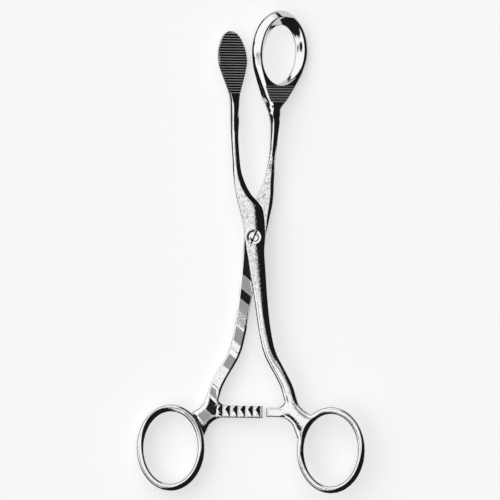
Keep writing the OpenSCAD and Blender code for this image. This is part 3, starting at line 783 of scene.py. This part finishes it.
FULL_TOOTH = [(-0.5, 0.02), (0.5, 0.02), (0.5, 0.86), (-0.5, 0.86)]
SLANT_TOOTH = [(-0.5, 0.05), (0.5, 0.05), (0.5, 0.45), (0.2, 0.84), (-0.1, 0.5), (-0.5, 0.22)]


def cut_teeth(shape, arm, count, side, plan):
    """Teeth on the lap side of an arm; side 1 is the front half, -1 the rear one turned over."""
    reach, height, _ = arm
    along = Matrix(((0, 1, 0, 0), (1, 0, 0, 0), (0, 0, 1, 0), (0, 0, 0, 1)))
    place = (Matrix.Translation((0, -DROP, TOOTH_GAP)) @ Matrix.Rotation(math.radians(-LEAN), 4, "Z")
             @ Matrix.Translation((-reach + 0.45, 0, 0)) @ along)
    if side < 0:
        place = Matrix.Rotation(math.pi, 4, "Y") @ place
    tool = comb(wedge_tooth(plan), place, Count=count, Pitch=TOOTH_PITCH, Width=height,
                Depth=TOOTH_DEPTH)
    return carve(shape, tool)


cut_teeth(plate_half, SHORT_ARM, 3, 1, FULL_TOOTH)
cut_teeth(ring_half, LONG_ARM, 6, -1, SLANT_TOOTH)
print("teeth cut:", len(plate_half.data.polygons), len(ring_half.data.polygons), "faces")

# %% [markdown]
# ## The pivot screw
# A turned screw with a crowned head, a smooth shoulder and a threaded end that is peened flush
# behind. A turned piece is a profile carried round an axis; the driver slot is then cut.

# %% Turn the screw and cut its slot
def turned(name, profile, steps=128):
    """A closed profile of radius and height carried round the Z axis."""
    a = np.linspace(0, 2 * math.pi, steps, endpoint=False)
    loops = [np.c_[r * np.cos(a), r * np.sin(a), np.full(steps, z)] for r, z in profile]
    return make_object(name, *skin(loops))


edge, dish = HEAD_D / 2, HEAD_TOP - 0.3
head = [(edge, HEAD_Z + RUN), (edge, dish + 0.12), (edge - 0.06, dish + 0.18), (edge - 0.65, dish),
        (edge - 0.7, dish + 0.04), (edge - 0.74, HEAD_TOP - 0.14)]
head += [(r, HEAD_TOP - r * r / 60 - 0.05 * (r / 1.7) ** 6) for r in np.linspace(edge - 0.78, 0.05, 30)]
tail = [(0.05, -LAP - LOCK_T), (THREAD_D / 2 - 0.12, -LAP - LOCK_T), (THREAD_D / 2, -LAP - LOCK_T + 0.12),
        (THREAD_D / 2, LAP), (SHOULDER_D / 2, LAP), (SHOULDER_D / 2, HEAD_Z + RUN)]
screw = turned("pivot screw", tail + head)
SLOT_W, SLOT_DEPTH, SLOT_TURN = 0.55, 0.7, 66.0
slot_tool = make_object("slot", [(x, y, z) for x in (-4, 4) for y in (-SLOT_W / 2, SLOT_W / 2)
                                 for z in (HEAD_TOP - SLOT_DEPTH + 0.35 * y, HEAD_TOP + 2)],
                        [[0, 1, 3, 2], [4, 6, 7, 5], [0, 4, 5, 1], [2, 3, 7, 6], [0, 2, 6, 4], [1, 5, 7, 3]])
slot_tool.data.transform(Matrix.Rotation(math.radians(SLOT_TURN), 4, "Z"))
carve(screw, slot_tool)
print("screw:", len(screw.data.polygons), "faces")

# %% [markdown]
# ## Materials
# All three pieces are stainless steel, ground and polished by hand. A bare metal has no colour of its own beyond its
# grey: what the eye sees is the room in it. Polishing leaves fine lines along the piece and a slow waviness that
# breaks the reflections up. The long slopes of some serrations and the inside of the screw slot have shade painted
# into the grey.

# %% A helper for colours and one for nodes
def hex_colour(code):
    """sRGB hex to the linear numbers that a shader takes."""
    parts = [int(code[i:i + 2], 16) / 255 for i in (1, 3, 5)]
    return [c / 12.92 if c <= 0.04045 else ((c + 0.055) / 1.055) ** 2.4 for c in parts] + [1.0]


def node(tree, kind, settings=None, **links):
    """Adds a node, sets its properties and inputs, and links what is linked."""
    made = tree.nodes.new(kind)
    for key, value in (settings or {}).items():
        setattr(made, key, value)
    for key, value in links.items():
        target = made.inputs[int(key[1:])] if key[0] == "i" and key[1:].isdigit() else made.inputs[key.replace("_", " ")]
        if isinstance(value, bpy.types.NodeSocket):
            tree.links.new(value, target)
        else:
            target.default_value = value
    return made

# %% Polished steel
def polished_steel(name, turn, colour="#cfd0d1", roughness=0.08, speckle=0.00004):
    """Hand-polished stainless steel, its fine lines running along the piece."""
    steel = bpy.data.materials.new(name)
    steel.use_nodes = True
    tree = steel.node_tree
    tree.nodes.clear()
    place = node(tree, "ShaderNodeTexCoord").outputs["Object"]
    along = node(tree, "ShaderNodeMapping", Vector=place, Rotation=(0, 0, math.radians(-turn)),
                 Scale=(6000, 220, 6000))
    lines = node(tree, "ShaderNodeTexNoise", Vector=along.outputs[0], Scale=1.0, Detail=3.0)
    wave = node(tree, "ShaderNodeTexNoise", Vector=place, Scale=160.0, Detail=1.0)
    rough = node(tree, "ShaderNodeMapRange", Value=lines.outputs["Fac"])
    rough.inputs["To Min"].default_value = roughness - 0.03
    rough.inputs["To Max"].default_value = roughness + 0.03
    bump = node(tree, "ShaderNodeBump", Height=lines.outputs["Fac"], Strength=0.06, Distance=0.00005)
    swell = node(tree, "ShaderNodeBump", Height=wave.outputs["Fac"], Strength=0.4, Distance=0.0001,
                 Normal=bump.outputs[0])
    grain = node(tree, "ShaderNodeTexNoise", Vector=place, Scale=1900.0, Detail=0.0)
    fine = node(tree, "ShaderNodeBump", Height=grain.outputs["Fac"], Strength=1.0, Distance=speckle,
                Normal=swell.outputs[0])
    body = node(tree, "ShaderNodeBsdfPrincipled", Base_Color=hex_colour(colour), Metallic=1.0,
                Roughness=rough.outputs[0], Normal=fine.outputs[0])
    out = node(tree, "ShaderNodeOutputMaterial")
    tree.links.new(body.outputs[0], out.inputs["Surface"])
    return steel, place, body, fine, rough


def window_of(tree, value, low, high, soft=0.02):
    """1 where a value in millimetres lies between two limits, 0 elsewhere."""
    rise = node(tree, "ShaderNodeMapRange", i0=value, i1=low - soft, i2=low + soft, i3=0.0, i4=1.0)
    fall = node(tree, "ShaderNodeMapRange", i0=value, i1=high - soft, i2=high + soft, i3=1.0, i4=0.0)
    return node(tree, "ShaderNodeMath", {"operation": "MULTIPLY"}, i0=rise.outputs[0], i1=fall.outputs[0]).outputs[0]


def along_line(tree, place, way, start=0.0):
    """Millimetres from the pivot along a direction in the drawn pose."""
    way = np.array(way, float) / np.linalg.norm(way)
    far = node(tree, "ShaderNodeVectorMath", {"operation": "DOT_PRODUCT"}, i0=place, i1=tuple(way / MM))
    return node(tree, "ShaderNodeMath", {"operation": "SUBTRACT"}, i0=far.outputs["Value"],
                i1=float(way @ PIVOT) + start).outputs[0]


def paint_shade(steel, body, mask, colour="#cfd0d1", dark="#1e1e1f", blasted=None, rough=None):
    """Painted shade where the mask is 1, and a matt blasted finish over the whole cut face."""
    tree = steel.node_tree
    if blasted:
        matt = node(tree, "ShaderNodeMix", {"data_type": "FLOAT"}, i0=blasted, i2=rough.outputs[0], i3=0.5)
        tree.links.new(matt.outputs[0], body.inputs["Roughness"])
    mix = node(tree, "ShaderNodeMix", {"data_type": "RGBA"})
    mix.inputs["Factor"].default_value = 0.0
    tree.links.new(mask, mix.inputs[0])
    mix.inputs[6].default_value = hex_colour(colour)
    mix.inputs[7].default_value = hex_colour(dark)
    tree.links.new(mix.outputs[2], body.inputs["Base Color"])


def darkest(tree, *levels):
    """The largest of several darkness levels."""
    made = levels[0]
    for level in levels[1:]:
        made = node(tree, "ShaderNodeMath", {"operation": "MAXIMUM"}, i0=made, i1=level).outputs[0]
    return made


def product(tree, *values):
    made = values[0]
    for value in values[1:]:
        made = node(tree, "ShaderNodeMath", {"operation": "MULTIPLY"}, i0=made, i1=value).outputs[0]
    return made


def drawn(x, y, z, opened):
    a = math.radians(opened)
    return (x * math.cos(a) - y * math.sin(a), x * math.sin(a) + y * math.cos(a), z)


def groove_shade_mask(tree, place, opened, low, high, face):
    """The long slopes of the serrations between two heights, on the face that lies n out, where their shade is
    painted into the colour.
    """
    roll = math.radians(JAW_TURN)
    out = along_line(tree, place, drawn(math.sin(roll), 0, math.cos(roll), opened))
    turn = math.atan(math.tan(math.radians(opened)) * math.cos(roll))
    flat = Vector((-math.sin(-turn), math.cos(-turn), 0))
    flat.rotate(Matrix.Rotation(roll, 3, "Y"))
    mid = (low + high) / 2
    up = along_line(tree, place, drawn(*flat, opened), mid * flat.y + (low - mid))
    step = node(tree, "ShaderNodeMath", {"operation": "DIVIDE"}, i0=up, i1=PITCH)
    phase = node(tree, "ShaderNodeMath", {"operation": "FRACT"}, i0=step.outputs[0])
    count = int((high - low) / PITCH)
    zone = product(tree, window_of(tree, out, face - 0.24, face + 0.02),
                   window_of(tree, step.outputs[0], 0.0, count + 0.3))
    return product(tree, window_of(tree, phase.outputs[0], 0.3, 0.985, 0.03), zone), zone


plate_steel, place, body, fine, rough = polished_steel("polished stainless steel, plate half", PLATE_OPEN)
# The long slopes of the plate's serrations get painted shade, near black.
grooves, zone = groove_shade_mask(plate_steel.node_tree, place, PLATE_OPEN, 51, 72.2, -FACE_IN)
paint_shade(plate_steel, body, grooves, blasted=zone, rough=rough)
tree = plate_steel.node_tree
upright = along_line(tree, place, (0, 1, 0))
tree.links.new(darkest(tree, window_of(tree, upright, -24, 20, 6), 0.4), fine.inputs["Strength"])
ring_steel, place, body, fine, rough = polished_steel("polished stainless steel, ring half", RING_OPEN)
tree = ring_steel.node_tree
# The long slopes of the short serrated row at the root of the ring jaw get painted shade, mid grey.
grooves, zone = groove_shade_mask(tree, place, RING_OPEN, 48.2, 53.9, FACE_IN + RING_DEPTH[0] - 0.2)
paint_shade(ring_steel, body, grooves, dark="#6a6a6b", blasted=zone, rough=rough)
along = along_line(tree, place, (math.cos(math.radians(50)), math.sin(math.radians(50)), 0))
coarse = darkest(tree, window_of(tree, along, 3, 30, 1), window_of(tree, along, -28, -21, 1),
                 product(tree, window_of(tree, along, -80, -20, 1), 0.6), 0.15)
tree.links.new(coarse, fine.inputs["Strength"])
screw_steel, place, body, fine, rough = polished_steel("turned stainless steel, screw", 0, roughness=0.08,
                                                       speckle=0.00001)
turn = math.radians(SLOT_TURN)
tree = screw_steel.node_tree
# The inside of the driver slot gets painted shade, near black.
paint_shade(screw_steel, body, product(
    tree, window_of(tree, along_line(tree, place, (-math.sin(turn), math.cos(turn), 0)), -SLOT_W / 2 - 0.02,
                    SLOT_W / 2 + 0.02, 0.03),
    window_of(tree, along_line(tree, place, (0, 0, 1)), HEAD_Z, HEAD_TOP - 0.18, 0.08)), dark="#1a1a1a")

# %% [markdown]
# ## To the drawn place
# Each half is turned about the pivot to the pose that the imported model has, and scaled to
# metres. Sharp edges are marked, so that a smooth surface stays smooth up to a crisp edge.

# %% Place, shade and hand over each piece
def crease(shape):
    """The low ridges between the ground bands of the rear shank, marked sharp."""
    bm = bmesh.new()
    bm.from_mesh(shape.data)
    for e in bm.edges:
        if len(e.link_faces) == 2 and e.calc_face_angle() > math.radians(5):
            x, y, z = (np.array(e.verts[0].co) + e.verts[1].co) / (2 * MM) - PIVOT
            if -1.3 < z < 0 and -50 < y < -2 and all(f.normal.z > 0.96 for f in e.link_faces):
                e.smooth = False
    bm.to_mesh(shape.data)
    bm.free()


def settle(shape, opened, steel, node_name, body):
    shape.data.transform(Matrix.Scale(MM, 4) @ Matrix.Translation(Vector(PIVOT))
                         @ Matrix.Rotation(math.radians(opened), 4, "Z"))
    shape.data.polygons.foreach_set("use_smooth", [True] * len(shape.data.polygons))
    shape.data.set_sharp_from_angle(angle=math.radians(28))
    crease(shape)
    shape.data.materials.clear()
    shape.data.materials.append(steel)
    shape.name = shape.data.name = node_name + "_steel"
    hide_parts(node_name)
    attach(shape, body)
    print(shape.name, "triangles:", sum(len(p.vertices) - 2 for p in shape.data.polygons))


settle(plate_half, PLATE_OPEN, plate_steel, "plate_jaw_half", "plate_half")
settle(ring_half, RING_OPEN, ring_steel, "ring_jaw_half", "ring_half")
settle(screw, 0, screw_steel, "pivot_screw", "ring_half")

# %% [markdown]
# ## Table, light and camera
# A pale table carries the shadow. The light is a broad soft tent, open and white overhead and
# to the left, with a black card standing at the lower right. Polished steel shows the tent as
# white and the card as the dark bands down the right sides.

# %% The table
def table(colour="#cfcfcf"):
    paint = bpy.data.materials.new("matt white table")
    paint.use_nodes = True
    tree = paint.node_tree
    tree.nodes.clear()
    matt = node(tree, "ShaderNodeBsdfDiffuse", Color=hex_colour(colour))
    path = node(tree, "ShaderNodeLightPath")
    straight = node(tree, "ShaderNodeMath", {"operation": "MAXIMUM"}, i0=path.outputs["Is Camera Ray"],
                    i1=path.outputs["Is Glossy Ray"])
    straight = node(tree, "ShaderNodeMath", {"operation": "MAXIMUM"}, i0=straight.outputs[0],
                    i1=path.outputs["Is Transmission Ray"])
    lift = node(tree, "ShaderNodeMath", {"operation": "MULTIPLY"}, i0=straight.outputs[0], i1=0.5)
    glow = node(tree, "ShaderNodeEmission", Color=(1, 1, 1, 1), Strength=lift.outputs[0])
    both = node(tree, "ShaderNodeAddShader", i0=matt.outputs[0], i1=glow.outputs[0])
    out = node(tree, "ShaderNodeOutputMaterial")
    tree.links.new(both.outputs[0], out.inputs["Surface"])
    top = make_object("table", [(-4, -4, 0), (4, -4, 0), (4, 4, 0), (-4, 4, 0)], [[0, 1, 2, 3]])
    top.data.materials.append(paint)
    if top.data.polygons[0].normal.z < 0:
        top.data.flip_normals()
    return top


table()

# %% The tent of light
def direction(azimuth, elevation):
    a, e = math.radians(azimuth), math.radians(elevation)
    return (math.cos(a) * math.cos(e), math.sin(a) * math.cos(e), math.sin(e))


def cap(tree, sky, azimuth, elevation, reach, soft=3):
    """1 inside a round patch of the sky, 0 outside it."""
    near = node(tree, "ShaderNodeVectorMath", {"operation": "DOT_PRODUCT"}, i0=sky,
                i1=direction(azimuth, elevation))
    return node(tree, "ShaderNodeMapRange", {"interpolation_type": "SMOOTHSTEP"}, i0=near.outputs["Value"],
                i1=math.cos(math.radians(reach + soft)), i2=math.cos(math.radians(max(reach - soft, 0))),
                i3=0.0, i4=1.0).outputs[0]


def light_tent(white=1.5, rim_up=18):
    world = bpy.data.worlds.new("light tent")
    bpy.context.scene.world = world
    world.use_nodes = True
    tree = world.node_tree
    tree.nodes.clear()
    sky = node(tree, "ShaderNodeTexCoord").outputs["Generated"]
    height = node(tree, "ShaderNodeSeparateXYZ", i0=sky)
    rim = node(tree, "ShaderNodeMapRange", {"interpolation_type": "SMOOTHSTEP"}, i0=height.outputs["Z"],
               i1=math.sin(math.radians(rim_up - 3)), i2=math.sin(math.radians(rim_up + 3)), i3=1.0, i4=0.0)
    black_card = cap(tree, sky, -35, 2, 76, 4)
    low_card = cap(tree, sky, -128, -8, 48)
    flag = cap(tree, sky, -130, 77, 9, 2)
    grey_flag = cap(tree, sky, 50, 77, 9, 3)
    side_flag = cap(tree, sky, 46, 32, 20, 3)
    grey = node(tree, "ShaderNodeMath", {"operation": "MULTIPLY"}, i0=grey_flag, i1=0.68)
    dark = darkest(tree, black_card, low_card, rim.outputs[0], flag, side_flag, grey.outputs[0])
    level = node(tree, "ShaderNodeMix", {"data_type": "FLOAT"}, i0=dark, i2=white, i3=0.015)
    seen = node(tree, "ShaderNodeLightPath").outputs["Is Camera Ray"]
    shown = node(tree, "ShaderNodeMix", {"data_type": "FLOAT"}, i0=seen, i2=level.outputs[0], i3=1.0)
    glow = node(tree, "ShaderNodeBackground", Color=(1, 1, 1, 1), Strength=shown.outputs[0])
    out = node(tree, "ShaderNodeOutputWorld")
    tree.links.new(glow.outputs[0], out.inputs["Surface"])


light_tent()

# %% The camera
PHOTO, MM_PER_PIXEL = 500, 170 / 483
SCREW_PX = (254.0, 237.0)


def camera(distance=3.0):
    """Straight down, its frame as wide as the photograph's."""
    lens = bpy.data.cameras.new("camera")
    eye = bpy.data.objects.new("camera", lens)
    bpy.context.scene.collection.objects.link(eye)
    wide = PHOTO * MM_PER_PIXEL * MM
    level = PIVOT[2] * MM
    eye.location = ((PIVOT[0] + (PHOTO / 2 - SCREW_PX[0]) * MM_PER_PIXEL) * MM,
                    (PIVOT[1] - (PHOTO / 2 - SCREW_PX[1]) * MM_PER_PIXEL) * MM, distance)
    lens.sensor_width = 36
    lens.lens = 36 * (distance - level) / wide
    lens.clip_start, lens.clip_end = 0.1, 20
    bpy.context.scene.camera = eye


camera()
bpy.context.scene.view_settings.view_transform = "Standard"
